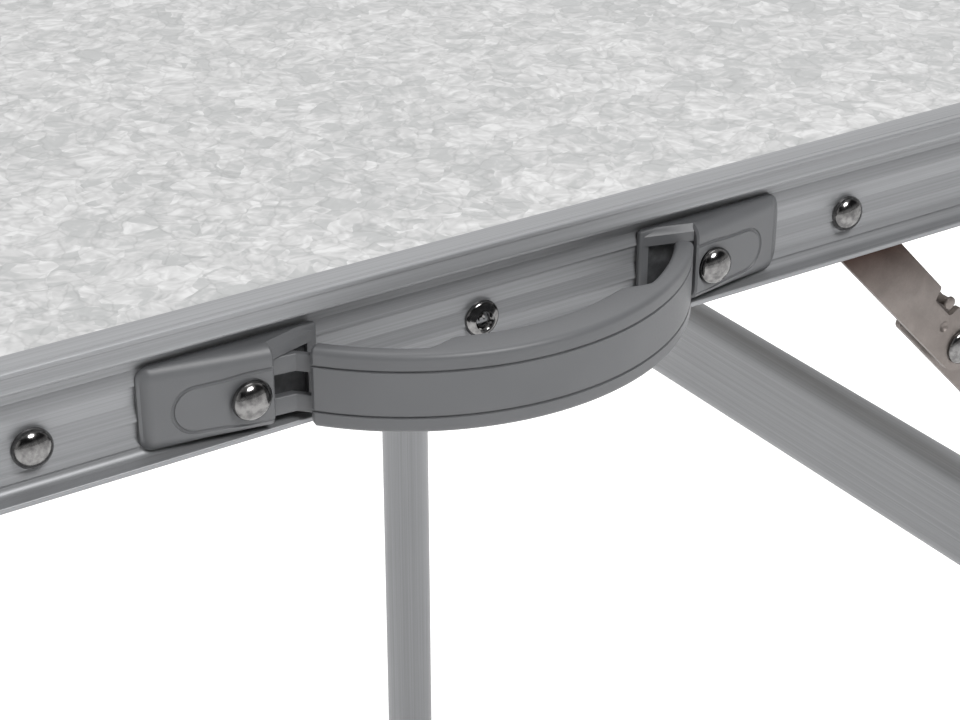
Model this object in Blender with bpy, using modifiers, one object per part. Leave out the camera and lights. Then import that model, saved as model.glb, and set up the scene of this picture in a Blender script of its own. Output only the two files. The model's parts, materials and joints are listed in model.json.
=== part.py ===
"""Folding table: an aluminium-framed board on two nested leg frames.

Each leg frame is two round legs and a flat oval crossbar.  It folds flat under the
board, and a two-plate knee brace on each side holds it square when it stands.  The
left frame is narrower, so that it folds inside the right one.  A bow handle sits in
two sockets on the front rail.

Frame: X along the handle edge, +Y away from it, +Z up, metres.
"""
import math

import bmesh
import bpy
from mathutils import Matrix, Vector

MM = 0.001

# Driving dimensions -------------------------------------------------------------
TABLE_LENGTH = 600 * MM
WEB_SPACING = 439.6 * MM       # between the outer faces of the front and back webs
TABLE_HEIGHT = 504 * MM
RIM = 5.2 * MM                 # how far bead and lip stand out from the web
RAIL_HEIGHT = 32 * MM
WEB_THICKNESS = 1.5 * MM
RIVET_ROW_DROP = 21 * MM       # rivet row below the top of the rail
GAP = 0.3 * MM                 # between pieces that touch
FLANGE_THICKNESS = 0.9 * MM
PANEL_THICKNESS = 4 * MM
LEDGE_TOP, LEDGE_BOTTOM = 5.5 * MM, 6.7 * MM
LEDGE_REACH = 14 * MM
STIFFENER_WIDTH, STIFFENER_THICKNESS = 30 * MM, 1.2 * MM

LEG_RADIUS, LEG_WALL = 11 * MM, 1.2 * MM
LEG_TOP_ABOVE_PIVOT = 6 * MM
LEG_JOINT_DROP = 222 * MM      # joint between upper and lower leg, below the pivot
LEG_DROP = 478 * MM            # end of the lower tube, below the pivot
PIVOT_X = 226 * MM             # leg pivots, either side of the middle
LEG_INSET = {"right": 26.6 * MM, "left": 60 * MM}    # leg centre behind the web
CROSSBAR_HEIGHT, CROSSBAR_DEPTH, CROSSBAR_WALL = 38 * MM, 13 * MM, 1.4 * MM
CROSSBAR_DROP = 169 * MM

BRACE_X = 112 * MM             # top pivots of the braces
BRACE_ANGLE = math.radians(45.7)
BRACE_WIDTH, BRACE_THICKNESS = 15.1 * MM, 1.8 * MM
LOWER_TAIL = 21.1 * MM         # lower plate past the knee
UPPER_PLANE, LOWER_PLANE = 8.0 * MM, 2.7 * MM    # front faces, ahead of the leg

HANDLE_REACH = 34.5 * MM       # grip's outer face ahead of the web
HANDLE_END_REACH = 9.5 * MM
HANDLE_SHIFT = 2.3 * MM        # grip sits this far to the right of the middle
HANDLE_HALF_SPAN = 52.8 * MM
GRIP_HEIGHT = 19.4 * MM
HANDLE_RIVET_X = 63.8 * MM
SOCKET_INNER, SOCKET_STEP, SOCKET_OUTER = 44.5 * MM, 58 * MM, 88 * MM
SOCKET_BOTTOM, SOCKET_TOP = -8.6 * MM, 11.6 * MM     # from the rivet row

SHANK, SHANK_HOLE = 2.5 * MM, 2.8 * MM
PIN, PIN_HOLE = 3.0 * MM, 3.3 * MM
HEAD_RADIUS, HEAD_HEIGHT = 4.7 * MM, 3.0 * MM
HEAD_BASE = 0.65 * MM          # underside of a rivet head, ahead of the web
TAIL_RADIUS, TAIL_THICKNESS = 3.8 * MM, 1.2 * MM

# Worked out ---------------------------------------------------------------------
Y_FRONT = (HANDLE_REACH - RIM - WEB_SPACING) / 2     # front web's outer face
Y_BACK = Y_FRONT + WEB_SPACING
HALF_LENGTH = TABLE_LENGTH / 2
HALF_DEPTH = WEB_SPACING / 2 + RIM
Y_MIDDLE = (Y_FRONT + Y_BACK) / 2
ROW_Z = TABLE_HEIGHT - RIVET_ROW_DROP
SIDE_SIGN = {"right": 1, "left": -1}
ROW_ENDS = {"front": (Y_FRONT, 1), "back": (Y_BACK, -1)}
# The links lie one over the other when the leg is flat, and straight when it stands.
BRACE_RUN = PIVOT_X - BRACE_X
BRACE_DROP = BRACE_RUN * math.tan(BRACE_ANGLE)
BRACE_SUM = math.hypot(BRACE_RUN, BRACE_DROP)
UPPER_LENGTH = (BRACE_SUM - (BRACE_DROP - BRACE_RUN)) / 2
LOWER_LENGTH = BRACE_SUM - UPPER_LENGTH

FACE_ALONG_Y = Matrix.Rotation(math.radians(90), 4, "X")

COLOURS = {
    "laminate": ((0.70, 0.70, 0.69), 0.35, 0.0),
    "aluminium": ((0.56, 0.56, 0.57), 0.38, 1.0),
    "grey_plastic": ((0.20, 0.205, 0.21), 0.5, 0.0),
    "zinc_steel": ((0.24, 0.21, 0.19), 0.45, 1.0),
    "rivet_steel": ((0.62, 0.62, 0.64), 0.15, 1.0),
    "foot_plastic": ((0.10, 0.10, 0.10), 0.6, 0.0),
}


# Scene and small helpers ----------------------------------------------------------
def clear_scene():
    for thing in list(bpy.data.objects):
        bpy.data.objects.remove(thing, do_unlink=True)


def new_collection(name):
    collection = bpy.data.collections.new(name)
    bpy.context.scene.collection.children.link(collection)
    return collection


def material_for(node, kind):
    colour, roughness, metallic = COLOURS[kind]
    material = bpy.data.materials.new(f"{kind}_{node}")
    material.use_nodes = True
    shader = material.node_tree.nodes["Principled BSDF"]
    shader.inputs["Base Color"].default_value = (*colour, 1)
    shader.inputs["Roughness"].default_value = roughness
    shader.inputs["Metallic"].default_value = metallic
    material.diffuse_color = (*colour, 1)
    return material


def add_object(name, mesh, kind=None, matrix=Matrix.Identity(4)):
    thing = bpy.data.objects.new(name, mesh)
    thing.matrix_world = matrix
    if kind:
        PARTS.objects.link(thing)
        mesh.materials.append(material_for(name, kind))
    else:
        CUTTERS.objects.link(thing)
        thing.hide_render = True
        thing.display_type = "WIRE"
    return thing


def arc(centre, radius, start, end, steps=6):
    """Points on an arc, angles in degrees."""
    angles = [math.radians(start + (end - start) * i / steps) for i in range(steps + 1)]
    return [(centre[0] + radius * math.cos(a), centre[1] + radius * math.sin(a)) for a in angles]


def slab(name, loops, thickness, kind=None, matrix=Matrix.Identity(4)):
    """A flat outline, with any holes after it, thickened along its local Z."""
    curve = bpy.data.curves.new(name + "_outline", "CURVE")
    curve.dimensions = "2D"
    curve.fill_mode = "BOTH"
    curve.extrude = thickness / 2
    for loop in loops:
        spline = curve.splines.new("POLY")
        spline.points.add(len(loop) - 1)
        for point, (x, y) in zip(spline.points, loop):
            point.co = (x, y, 0, 1)
        spline.use_cyclic_u = True
    outline = bpy.data.objects.new(name + "_outline", curve)
    bpy.context.scene.collection.objects.link(outline)
    bpy.context.view_layer.update()
    graph = bpy.context.evaluated_depsgraph_get()
    mesh = bpy.data.meshes.new_from_object(outline.evaluated_get(graph))
    mesh.name = name
    bpy.data.objects.remove(outline, do_unlink=True)
    mesh.materials.clear()
    shape = bmesh.new()
    shape.from_mesh(mesh)
    bmesh.ops.remove_doubles(shape, verts=shape.verts, dist=1e-6)
    bmesh.ops.recalc_face_normals(shape, faces=shape.faces)
    shape.to_mesh(mesh)
    shape.free()
    return add_object(name, mesh, kind, matrix)


def turned(name, profile, kind=None, matrix=Matrix.Identity(4), ring=False, steps=20):
    """A profile of (radius, height), spun about local Z.  A ring's profile is closed."""
    mesh = bpy.data.meshes.new(name)
    edges = [(i, i + 1) for i in range(len(profile) - 1)]
    if ring:
        edges.append((len(profile) - 1, 0))
    mesh.from_pydata([(r, 0, z) for r, z in profile], edges, [])
    thing = add_object(name, mesh, kind, matrix)
    spin = thing.modifiers.new("spin", "SCREW")
    spin.axis = "Z"
    spin.steps = spin.render_steps = steps
    spin.use_merge_vertices = True
    spin.merge_threshold = 1e-6
    return thing


def rod(name, start, end, radius, steps=24):
    """A round cutter or peg between two points."""
    start, end = Vector(start), Vector(end)
    way = end - start
    turn = way.to_track_quat("Z", "Y").to_matrix().to_4x4()
    length = way.length
    return turned(name, [(0, length), (radius, length), (radius, 0), (0, 0)],
                  matrix=Matrix.Translation(start) @ turn, steps=steps)


def boolean(thing, other, operation="DIFFERENCE"):
    step = thing.modifiers.new(operation.lower(), "BOOLEAN")
    step.operation = operation
    step.solver = "EXACT"
    step.object = other


def soften(thing, width, segments=2):
    bevel = thing.modifiers.new("edges", "BEVEL")
    bevel.width = width
    bevel.segments = segments
    bevel.limit_method = "ANGLE"
    bevel.angle_limit = math.radians(50)


def circle(centre, radius, steps=20):
    return arc(centre, radius, 0, 360 * (steps - 1) / steps, steps - 1)


def inward(end, depth):
    """Y of a point this far behind the web of the front or back rail."""
    base, way = ROW_ENDS[end]
    return base + way * depth


def looking_inward(x, end, depth, z):
    """Placement of a turned piece whose local +Z runs from the web to the middle."""
    turn = Matrix.Rotation(math.radians(-90 * ROW_ENDS[end][1]), 4, "X")
    return Matrix.Translation((x, inward(end, depth), z)) @ turn


# Board ------------------------------------------------------------------------------
def rail_profile():
    """Rail section: how far out from the web, how far below the top, in mm."""
    rim = RIM / MM
    outside = [(-2.6, 0), *arc((rim - 0.4, 0.4), 0.4, -90, 0, 3), (rim, 1.2), (rim - 0.5, 1.2),
               (rim - 0.5, 1.6), (rim, 1.6), *arc((rim - 1.5, 4.3), 1.5, 0, 90, 5), (0, 5.8)]
    web = [(0, 13.0), (0.35, 13.3), (0.35, 13.6), (0, 14.2), (0, 18.0), (0.35, 18.4),
           (0.35, 22.2), (0, 22.6), (0, 26.6), (0.35, 26.9), (0.35, 28.3), (0.1, 28.7)]
    lip = [*arc((2.2, 28.6), 2.1, 180, 90, 5)[1:], (rim, 30.7), (rim, 32), (-1.5, 32)]
    inside = [(-1.5, LEDGE_BOTTOM / MM), (-LEDGE_REACH / MM, LEDGE_BOTTOM / MM),
              (-LEDGE_REACH / MM, LEDGE_TOP / MM), (0.2, LEDGE_TOP / MM),
              (0.2, FLANGE_THICKNESS / MM), (-2.6, FLANGE_THICKNESS / MM)]
    return [(out * MM, -down * MM) for out, down in outside + web + lip + inside]


def rail(name, middle, outward, half, holes):
    """One extruded rail with mitred ends; holes are (distance along, radius)."""
    along = outward.cross(Vector((0, 0, 1)))
    turn = Matrix((outward, Vector((0, 0, 1)), along)).transposed().to_4x4()
    place = Matrix.Translation(Vector((*middle, TABLE_HEIGHT))) @ turn
    thing = slab(name, [rail_profile()], 2 * half, "aluminium", place)
    for vertex in thing.data.vertices:
        end = math.copysign(1, vertex.co.z)
        vertex.co.z = end * (half - (RIM - vertex.co.x) - GAP / 2)
    for i, (distance, radius) in enumerate(holes):
        spot = Vector((*middle, ROW_Z)) + along * distance
        cutter = rod(f"{name}_hole_{i}", spot - outward * 4 * MM, spot + outward * 4 * MM, radius)
        boolean(thing, cutter)


def make_rails():
    pivots = [(sign * x, radius) for sign in (-1, 1)
              for x, radius in ((BRACE_X, SHANK_HOLE), (PIVOT_X, PIN_HOLE))]
    middle_hole = [(0, SHANK_HOLE)]
    handle = [(sign * HANDLE_RIVET_X, SHANK_HOLE) for sign in (-1, 1)]
    rail("frame_front", (0, Y_FRONT), Vector((0, -1, 0)), HALF_LENGTH, pivots + middle_hole + handle)
    rail("frame_back", (0, Y_BACK), Vector((0, 1, 0)), HALF_LENGTH, pivots + middle_hole)
    for side, sign in SIDE_SIGN.items():
        rail(f"frame_{side}", (sign * (HALF_LENGTH - RIM), Y_MIDDLE), Vector((sign, 0, 0)),
             HALF_DEPTH, [])


def make_panel():
    top = TABLE_HEIGHT - FLANGE_THICKNESS - GAP
    shape = bmesh.new()
    bmesh.ops.create_cube(shape, size=1)
    size = (TABLE_LENGTH - 2 * RIM - GAP, WEB_SPACING - GAP, PANEL_THICKNESS)
    bmesh.ops.scale(shape, vec=size, verts=shape.verts)
    mesh = bpy.data.meshes.new("top_panel")
    shape.to_mesh(mesh)
    shape.free()
    add_object("top_panel", mesh, "laminate",
               Matrix.Translation((0, Y_MIDDLE, top - PANEL_THICKNESS / 2)))


def make_stiffener():
    """A flat strip under the board, turned down at both ends and riveted to the webs."""
    t = STIFFENER_THICKNESS
    high, low = -LEDGE_BOTTOM - GAP, -27 * MM
    half = WEB_SPACING / 2 - WEB_THICKNESS - GAP
    outline = [(-half, low), (-half, high), (half, high), (half, low),
               (half - t, low), (half - t, high - t), (t - half, high - t), (t - half, low)]
    turn = Matrix.Rotation(math.radians(90), 4, "Z") @ FACE_ALONG_Y
    strip = slab("centre_stiffener", [outline], STIFFENER_WIDTH, "aluminium",
                 Matrix.Translation((0, Y_MIDDLE, TABLE_HEIGHT)) @ turn)
    for end in ROW_ENDS:
        boolean(strip, rod(f"stiffener_hole_{end}", (0, inward(end, 0), ROW_Z),
                           (0, inward(end, 8 * MM), ROW_Z), SHANK_HOLE))


def make_stiffener_rivets():
    """Hollow rivets: a domed flange with an open middle."""
    flange = [(2.0, 0.9), (2.6, 2.0), (3.4, 1.9), (4.2, 1.2), (4.6, 0.3), (4.6, 0)]
    length = (HEAD_BASE + WEB_THICKNESS + GAP + STIFFENER_THICKNESS) / MM + 0.3
    tail = [(2.5, 0), (2.5, -length), (3.4, -length), (3.4, -length - 0.8), (1.3, -length - 0.8)]
    profile = [(r * MM, z * MM) for r, z in flange + tail + [(1.3, 0.9)]]
    for end in ROW_ENDS:
        turned(f"stiffener_rivet_{end}", profile, "rivet_steel",
               looking_inward(0, end, -HEAD_BASE, ROW_Z) @ Matrix.Rotation(math.pi, 4, "X"),
               ring=True)


def make_corner_blocks():
    arm, thick = 28 * MM, 4 * MM
    top, bottom = 8 * MM, 30 * MM
    edge = WEB_THICKNESS + GAP
    for side, sign in SIDE_SIGN.items():
        for end, (base, way) in ROW_ENDS.items():
            shape = [(0, 0), (arm, 0), (arm, thick), (thick, thick), (thick, arm), (0, arm)]
            corner_x = sign * (HALF_LENGTH - RIM - edge)
            points = [(corner_x - sign * x, base + way * (edge + y)) for x, y in shape]
            slab(f"corner_block_{side}_{end}", [points], bottom - top, "grey_plastic",
                 Matrix.Translation((0, 0, TABLE_HEIGHT - (top + bottom) / 2)))


# Handle -----------------------------------------------------------------------------
def domed_rivet(name, x, end, depths, kind="rivet_steel", shank=SHANK, head=HEAD_RADIUS,
                head_height=HEAD_HEIGHT, sleeve=None, tail=TAIL_RADIUS, z=ROW_Z):
    """A rivet from its domed head inwards; depths are its head base, tail start and end."""
    base, tail_start, tail_end = (d - depths[0] for d in depths)
    dome = [(head * math.cos(a), -head_height * math.sin(a))
            for a in (math.radians(90 - 15 * i) for i in range(7))]
    stem = [(shank, base)]
    if sleeve:
        radius, start, stop = sleeve
        start, stop = start - depths[0], stop - depths[0]
        stem += [(shank, start), (radius, start), (radius, stop), (shank, stop)]
    foot = [(shank, tail_start), (tail, tail_start), (tail, tail_end), (0, tail_end)]
    profile = [(max(r, 0), h) for r, h in dome + stem + foot]
    profile[0] = (0, -head_height)
    return turned(name, profile[::-1], kind, looking_inward(x, end, depths[0], z))


def socket_outline(sign):
    """Plan of a handle socket: a thin plate at its inner end, then a wedge-shaped cover."""
    points = [(SOCKET_INNER, HEAD_BASE), (SOCKET_OUTER, HEAD_BASE), (SOCKET_OUTER, 2.6 * MM),
              (SOCKET_STEP, 7.6 * MM), (SOCKET_STEP, 2.3 * MM), (SOCKET_INNER, 2.3 * MM)]
    return [(sign * x, Y_FRONT - out) for x, out in points]


def make_sockets():
    height = SOCKET_TOP - SOCKET_BOTTOM
    middle = ROW_Z + (SOCKET_TOP + SOCKET_BOTTOM) / 2
    for side, sign in SIDE_SIGN.items():
        socket = slab(f"handle_socket_{side}", [socket_outline(sign)], height, "grey_plastic",
                      Matrix.Translation((0, 0, middle)))
        shelf = [(45, 0.7), (59, 0.7), (59, 6), (45, 2.2)]
        top_bar = slab(f"socket_shelf_{side}",
                       [[(sign * x * MM, Y_FRONT - out * MM) for x, out in shelf]],
                       4 * MM, matrix=Matrix.Translation((0, 0, ROW_Z + 9.6 * MM)))
        boolean(socket, top_bar, "UNION")
        cavity = [(47, -1), (70, -1), (70, 4.6), (58.5, 5.9), (47, 5.9)]
        cutter = slab(f"socket_cavity_{side}",
                      [[(sign * x * MM, Y_FRONT - out * MM) for x, out in cavity]],
                      15 * MM, matrix=Matrix.Translation((0, 0, ROW_Z)))
        boolean(socket, cutter)
        x = sign * HANDLE_RIVET_X
        for tag, start, stop, radius in (("hole", 0, 9, SHANK_HOLE), ("seat", 6.7, 9, 5.2 * MM)):
            boolean(socket, rod(f"socket_{tag}_{side}", (x, Y_FRONT - stop * MM, ROW_Z),
                                (x, Y_FRONT - start * MM, ROW_Z), radius))
        tail_start = WEB_THICKNESS + GAP
        domed_rivet(f"handle_rivet_{side}", x, "front",
                    (-6.7 * MM - GAP, tail_start, tail_start + TAIL_THICKNESS))


def grip_point(x, inset):
    """A point on the bow, inset from its outer face along the bow's radius."""
    rise = HANDLE_REACH - HANDLE_END_REACH
    radius = (HANDLE_HALF_SPAN ** 2 + rise ** 2) / (2 * rise)
    angle = math.asin(x / radius)
    reach = HANDLE_REACH - radius
    return (HANDLE_SHIFT + (radius - inset) * math.sin(angle),
            Y_FRONT - reach - (radius - inset) * math.cos(angle))


def grip_thickness(x):
    """Thick pad in the middle, thin strap at the ends, with a soft step between."""
    step = min(max((abs(x) - 22 * MM) / (12 * MM), 0), 1)
    ease = step * step * (3 - 2 * step)
    return (9 - 4.2 * ease) * MM


def make_handle():
    count = 32
    stations = [HANDLE_HALF_SPAN * (2 * i / count - 1) for i in range(count + 1)]
    outer = [grip_point(x, 0) for x in stations]
    inner = [grip_point(x, grip_thickness(x)) for x in reversed(stations)]
    grip = slab("handle_grip", [outer + inner], GRIP_HEIGHT, "grey_plastic",
                Matrix.Translation((0, 0, ROW_Z)))
    soften(grip, 1.6 * MM)
    for side, sign in SIDE_SIGN.items():
        start = grip_point(sign * (HANDLE_HALF_SPAN - 3 * MM), 3.0 * MM)
        end = (sign * 63 * MM + HANDLE_SHIFT, Y_FRONT - 3.3 * MM)
        knee = (sign * 54 * MM + HANDLE_SHIFT, Y_FRONT - 4.2 * MM)
        width = 1.1 * MM
        plan = [(x, y - width) for x, y in (start, knee, end)]
        plan += [(x, y + width) for x, y in (end, knee, start)]
        for level, offset in (("high", 5 * MM), ("low", -5 * MM)):
            prong = slab(f"prong_{side}_{level}", [plan], 4.4 * MM,
                         matrix=Matrix.Translation((0, 0, ROW_Z + offset)))
            boolean(grip, prong, "UNION")


# Leg frames ---------------------------------------------------------------------------
def make_leg(side, end):
    x, inset = SIDE_SIGN[side] * PIVOT_X, LEG_INSET[side]
    tag = f"{side}_{end}"
    place = Matrix.Translation((x, inward(end, inset), ROW_Z))
    outer, bore = LEG_RADIUS, LEG_RADIUS - LEG_WALL
    seam = -LEG_JOINT_DROP
    top = LEG_TOP_ABOVE_PIVOT
    upper = turned(f"leg_upper_{tag}", [(outer, top), (outer, seam), (bore, seam), (bore, top)],
                   "aluminium", place, ring=True, steps=28)
    hole = rod(f"leg_hole_{tag}", (x, inward(end, inset - 15 * MM), ROW_Z),
               (x, inward(end, inset + 15 * MM), ROW_Z), PIN_HOLE)
    boolean(upper, hole)
    spigot, pocket, collar = bore - GAP, outer + GAP, outer + 1.5 * MM
    low, tip = seam - GAP, -LEG_DROP
    bead = [(collar, seam + 9 * MM), (collar, seam + 4 * MM), (collar - 0.7 * MM, seam + 3 * MM),
            (collar - 0.7 * MM, seam + 2 * MM), (collar, seam + 1 * MM), (collar, seam - 4 * MM)]
    profile = [(spigot, seam + 30 * MM), (spigot, low), (pocket, low), (pocket, seam + 9 * MM),
               *bead, (outer, seam - 4 * MM), (outer, tip), (bore, tip), (bore, seam - 10 * MM),
               (spigot - LEG_WALL, seam - 6 * MM), (spigot - LEG_WALL, seam + 30 * MM)]
    turned(f"leg_lower_{tag}", profile, "aluminium", place, ring=True, steps=28)
    sole, flange = tip - 5 * MM, outer + 0.3 * MM
    plug = [(0, tip + 12 * MM), (bore - GAP, tip + 12 * MM), (bore - GAP, tip - GAP),
            (flange, tip - GAP), (flange, sole + 1 * MM), (flange - 1 * MM, sole), (0, sole)]
    turned(f"foot_{tag}", plug, "foot_plastic", place, steps=28)
    make_leg_hinge(tag, x, end, inset)


def make_leg_hinge(tag, x, end, inset):
    """A flanged bush between web and leg, and the riveted pin that the leg turns on."""
    start, stop = WEB_THICKNESS + GAP, inset - LEG_RADIUS - GAP
    flange, boss = 13 * MM, 6 * MM
    profile = [(boss, stop - start), (boss, 2 * MM), (flange, 2 * MM), (flange, 0), (PIN_HOLE, 0),
               (PIN_HOLE, stop - start)]
    turned(f"hinge_bracket_{tag}", profile, "zinc_steel", looking_inward(x, end, start, ROW_Z),
           ring=True)
    far = inset + LEG_RADIUS + GAP
    domed_rivet(f"leg_pivot_{tag}", x, end, (-HEAD_BASE, far, far + 2 * MM), shank=PIN,
                tail=HEAD_RADIUS)


def oval(height, depth, steps=10):
    """A flat oval with its long axis upright."""
    radius, straight = depth / 2, (height - depth) / 2
    return arc((0, straight), radius, 0, 180, steps) + arc((0, -straight), radius, 180, 360, steps)


def make_crossbar(side):
    """Flat oval tube across the outer faces of both legs."""
    wall = 2 * CROSSBAR_WALL
    loops = [oval(CROSSBAR_HEIGHT, CROSSBAR_DEPTH), oval(CROSSBAR_HEIGHT - wall, CROSSBAR_DEPTH - wall)]
    x = SIDE_SIGN[side] * (PIVOT_X + LEG_RADIUS + GAP + CROSSBAR_DEPTH / 2)
    length = WEB_SPACING - 2 * (LEG_INSET[side] - LEG_RADIUS)
    slab(f"crossbar_{side}", loops, length, "aluminium",
         Matrix.Translation((x, Y_MIDDLE, ROW_Z - CROSSBAR_DROP)) @ FACE_ALONG_Y)


# Braces -------------------------------------------------------------------------------
def upper_outline():
    """Upper plate from its top pivot along +X; +Y is its upper edge, with the stop's notch."""
    half = BRACE_WIDTH / 2
    notch = UPPER_LENGTH - 22.4 * MM
    return [*arc((0, 0), half, 90, 270, 12), *arc((UPPER_LENGTH, 0), half, -90, 90, 12),
            (notch + 13 * MM, half), (notch + 11.5 * MM, 3.6 * MM), (notch + 1.5 * MM, 3.6 * MM),
            (notch, half)]


def lower_outline():
    """Lower plate from the knee along +X, with a square tail past the knee."""
    half, tail, corner = BRACE_WIDTH / 2 + 0.3 * MM, LOWER_TAIL, 2 * MM
    return [*arc((corner - tail, half - corner), corner, 90, 180, 4),
            *arc((corner - tail, corner - half), corner, 180, 270, 4),
            *arc((LOWER_LENGTH, 0), half, -90, 90, 12)]


def along_brace(sign, distance, offset=0.0):
    """X and Z, from the top pivot, of a point along the straight brace."""
    cos, sin = math.cos(BRACE_ANGLE), math.sin(BRACE_ANGLE)
    return sign * (distance * cos + offset * sin), offset * cos - distance * sin


def link(name, outline, holes, side, end, start, front):
    """A flat plate of the brace, its origin on its own pivot."""
    sign = SIDE_SIGN[side]
    dx, dz = along_brace(sign, start)
    loops = [[along_brace(sign, *point) for point in loop]
             for loop in [outline] + [circle((x, 0), SHANK_HOLE) for x in holes]]
    place = Matrix.Translation((sign * BRACE_X + dx, inward(end, front + BRACE_THICKNESS / 2),
                                ROW_Z + dz))
    return slab(name, loops, BRACE_THICKNESS, "zinc_steel", place @ FACE_ALONG_Y)


def make_brace(side, end):
    tag, sign = f"{side}_{end}", SIDE_SIGN[side]
    face = LEG_INSET[side] - LEG_RADIUS
    upper_front, lower_front = face - UPPER_PLANE, face - LOWER_PLANE
    upper_back, lower_back = upper_front + BRACE_THICKNESS, lower_front + BRACE_THICKNESS
    link(f"brace_upper_{tag}", upper_outline(), (0, UPPER_LENGTH), side, end, 0, upper_front)
    lower = link(f"brace_lower_{tag}", lower_outline(), (0, LOWER_LENGTH), side, end,
                 UPPER_LENGTH, lower_front)
    dx, dz = along_brace(sign, UPPER_LENGTH - 16.3 * MM, 5.9 * MM)
    peg_x, peg_z = sign * BRACE_X + dx, ROW_Z + dz
    peg = rod(f"stop_peg_{tag}", (peg_x, inward(end, upper_front - 1.4 * MM), peg_z),
              (peg_x, inward(end, lower_back - 0.4 * MM), peg_z), 1.6 * MM, steps=16)
    boolean(lower, peg, "UNION")
    tail_start = upper_back + GAP
    domed_rivet(f"brace_pivot_{tag}", sign * BRACE_X, end,
                (-HEAD_BASE, tail_start, tail_start + TAIL_THICKNESS),
                sleeve=(4 * MM, WEB_THICKNESS + GAP, upper_front - GAP))
    dx, dz = along_brace(sign, UPPER_LENGTH)
    domed_rivet(f"knee_rivet_{tag}", sign * BRACE_X + dx, end,
                (upper_front - GAP, lower_back - 0.01 * MM, lower_back), head=5.2 * MM,
                head_height=2.1 * MM, sleeve=(5 * MM, upper_back + GAP, lower_front - GAP),
                tail=SHANK, z=ROW_Z + dz)
    dx, dz = along_brace(sign, BRACE_SUM)
    domed_rivet(f"brace_stud_{tag}", sign * BRACE_X + dx, end,
                (lower_front - GAP, lower_back - 0.01 * MM, lower_back), head=TAIL_RADIUS,
                head_height=TAIL_THICKNESS, tail=SHANK, z=ROW_Z + dz)


clear_scene()
PARTS = new_collection("folding_table")
CUTTERS = new_collection("cutters")
make_panel()
make_rails()
make_stiffener()
make_stiffener_rivets()
make_corner_blocks()
make_sockets()
make_handle()
for each_side in SIDE_SIGN:
    make_crossbar(each_side)
    for each_end in ROW_ENDS:
        make_leg(each_side, each_end)
        make_brace(each_side, each_end)
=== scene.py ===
"""Looks of a folding table: pearl laminate in an extruded aluminium rim, round
aluminium legs on flat oval crossbars, plated knee braces and a moulded bow handle.

Laid out as an add-on.  Each operator makes one group of pieces around the fixed
frame, in metres, X along the handle edge, +Y away from it, +Z up.
"""
import json
import math

import bmesh
import bpy
from mathutils import Matrix, Vector

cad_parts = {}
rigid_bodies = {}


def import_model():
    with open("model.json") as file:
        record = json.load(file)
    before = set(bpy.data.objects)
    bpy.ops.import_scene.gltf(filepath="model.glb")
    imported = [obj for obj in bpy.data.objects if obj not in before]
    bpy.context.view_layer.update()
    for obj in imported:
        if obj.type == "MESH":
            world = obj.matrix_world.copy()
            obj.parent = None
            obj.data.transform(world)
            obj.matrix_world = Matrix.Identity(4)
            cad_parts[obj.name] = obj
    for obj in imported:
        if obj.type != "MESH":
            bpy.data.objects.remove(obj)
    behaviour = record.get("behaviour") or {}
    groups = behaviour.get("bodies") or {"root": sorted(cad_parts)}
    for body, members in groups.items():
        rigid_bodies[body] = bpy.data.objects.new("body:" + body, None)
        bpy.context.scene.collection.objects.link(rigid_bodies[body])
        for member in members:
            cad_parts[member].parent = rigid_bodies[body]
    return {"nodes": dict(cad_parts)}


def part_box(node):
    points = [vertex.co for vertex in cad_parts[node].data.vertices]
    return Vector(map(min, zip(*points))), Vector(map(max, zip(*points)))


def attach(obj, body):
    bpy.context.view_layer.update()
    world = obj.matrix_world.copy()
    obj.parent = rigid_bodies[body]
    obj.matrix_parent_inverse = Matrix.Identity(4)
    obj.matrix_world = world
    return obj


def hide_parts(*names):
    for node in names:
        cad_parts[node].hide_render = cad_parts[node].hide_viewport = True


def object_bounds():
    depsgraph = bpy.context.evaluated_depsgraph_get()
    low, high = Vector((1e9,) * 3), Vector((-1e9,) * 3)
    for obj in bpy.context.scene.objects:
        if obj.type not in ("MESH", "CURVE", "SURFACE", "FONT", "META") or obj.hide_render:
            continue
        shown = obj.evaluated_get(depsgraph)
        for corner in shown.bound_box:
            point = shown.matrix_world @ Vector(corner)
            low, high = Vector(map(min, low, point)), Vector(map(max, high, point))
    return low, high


bl_info = {
    "name": "Folding Table Looks",
    "version": (1, 0, 0),
    "blender": (4, 5, 0),
    "location": "3D View > Sidebar > Folding Table",
    "description": "Pieces, finishes and studio of a small aluminium folding table",
    "category": "Object",
}

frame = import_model()
CAD_LOW, CAD_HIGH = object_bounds()

MM = 0.001
SIDES = {"right": 1, "left": -1}
RIM = 5.2 * MM                     # bead and lip, out from the web
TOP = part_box("frame_front")[1].z
ROW = sum(corner.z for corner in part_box("handle_rivet_right")) / 2    # height of the rivets
WEB_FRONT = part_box("frame_front")[0].y + RIM
WEB_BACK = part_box("frame_back")[1].y - RIM
ENDS = {"front": (WEB_FRONT, 1), "back": (WEB_BACK, -1)}
CORNERS = [(side, end) for side in SIDES for end in ENDS]
GAP = 0.3 * MM


def linear(hex_colour):
    """An sRGB hex colour as linear red, green and blue."""
    parts = [int(hex_colour[i:i + 2], 16) / 255 for i in (1, 3, 5)]
    return tuple(c / 12.92 if c <= 0.04045 else ((c + 0.055) / 1.055) ** 2.4 for c in parts)


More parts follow.
